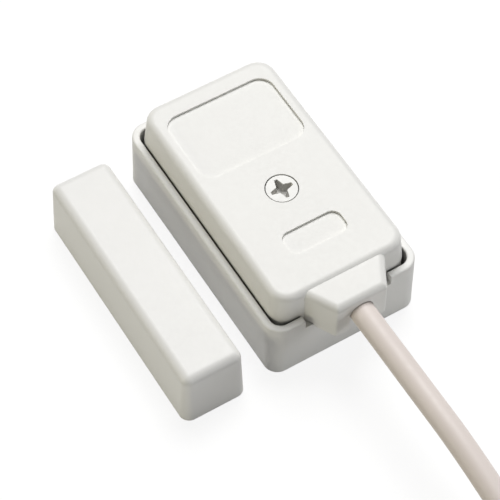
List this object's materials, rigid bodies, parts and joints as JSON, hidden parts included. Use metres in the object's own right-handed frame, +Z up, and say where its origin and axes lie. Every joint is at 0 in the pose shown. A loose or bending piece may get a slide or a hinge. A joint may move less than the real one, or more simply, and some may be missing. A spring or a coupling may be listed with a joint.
{
  "type": "magnetic shock sensor",
  "caption": "Magnetic shock sensor for a door or window: a screwed cap in an open mounting tray, a separate magnet block, and a round lead with spare length in a tied coil.",
  "frame": {"origin": "middle of the sensor's mounting face, the underside of its mounting base", "axes": "+X across the sensor, away from the magnet block; +Y along it, away from the lead; +Z up from the mounting surface"},
  "size_m": [0.0802, 0.2051, 0.0189],
  "materials": {
    "housing": "satin moulded ABS, warm white",
    "screw_paint": "white painted steel",
    "insert_brass": "turned brass",
    "board_green": "glossy green solder mask on fibreglass",
    "screw_steel": "zinc-plated steel",
    "reed_glass": "pale green clear glass",
    "reed_blade": "nickel-iron, tinned",
    "magnet_nickel": "nickel plated",
    "magnet_ferrite": "dark grey ferrite",
    "foam": "black foam ring",
    "piezo_brass": "thin brass sheet",
    "piezo_silver": "silvered ceramic",
    "thin_wire": "red insulated wire",
    "chip_black": "black moulded epoxy",
    "relay_white": "white moulded epoxy",
    "pins": "tinned leads",
    "capacitor_tan": "tan ceramic",
    "can": "plain aluminium can",
    "nylon": "natural nylon",
    "jacket": "soft white PVC",
    "core_red": "red PVC",
    "core_black": "black PVC",
    "core_white": "white PVC",
    "core_green": "green PVC",
    "core_yellow": "yellow PVC",
    "core_blue": "blue PVC"
  },
  "bodies": {
    "root": {"mounting_base": "housing", "sensor_cap": "housing", "magnet_cap": "housing", "magnet_base": "housing", "cover_screw": "screw_paint", "threaded_insert": "insert_brass", "circuit_board": "board_green", "board_screws": "screw_steel", "contact_reed_capsule": "reed_glass", "tamper_reed_capsule": "reed_glass", "contact_reed_blades": "reed_blade", "tamper_reed_blades": "reed_blade", "tamper_magnet": "magnet_nickel", "magnet_bar": "magnet_ferrite", "piezo_pad": "foam", "piezo_disc": "piezo_brass", "piezo_ceramic": "piezo_silver", "piezo_wires": "thin_wire", "processor": "chip_black", "chip_resistors": "chip_black", "output_relay": "relay_white", "processor_pins": "pins", "output_relay_pins": "pins", "chip_capacitors": "capacitor_tan", "smoothing_capacitor": "can", "cable_collar": "nylon", "coil_tie": "nylon", "cable_jacket": "jacket", "cable_coil": "jacket", "core_red": "core_red", "core_black": "core_black", "core_white": "core_white", "core_green": "core_green", "core_yellow": "core_yellow", "core_blue": "core_blue"}
  },
  "joints": []
}
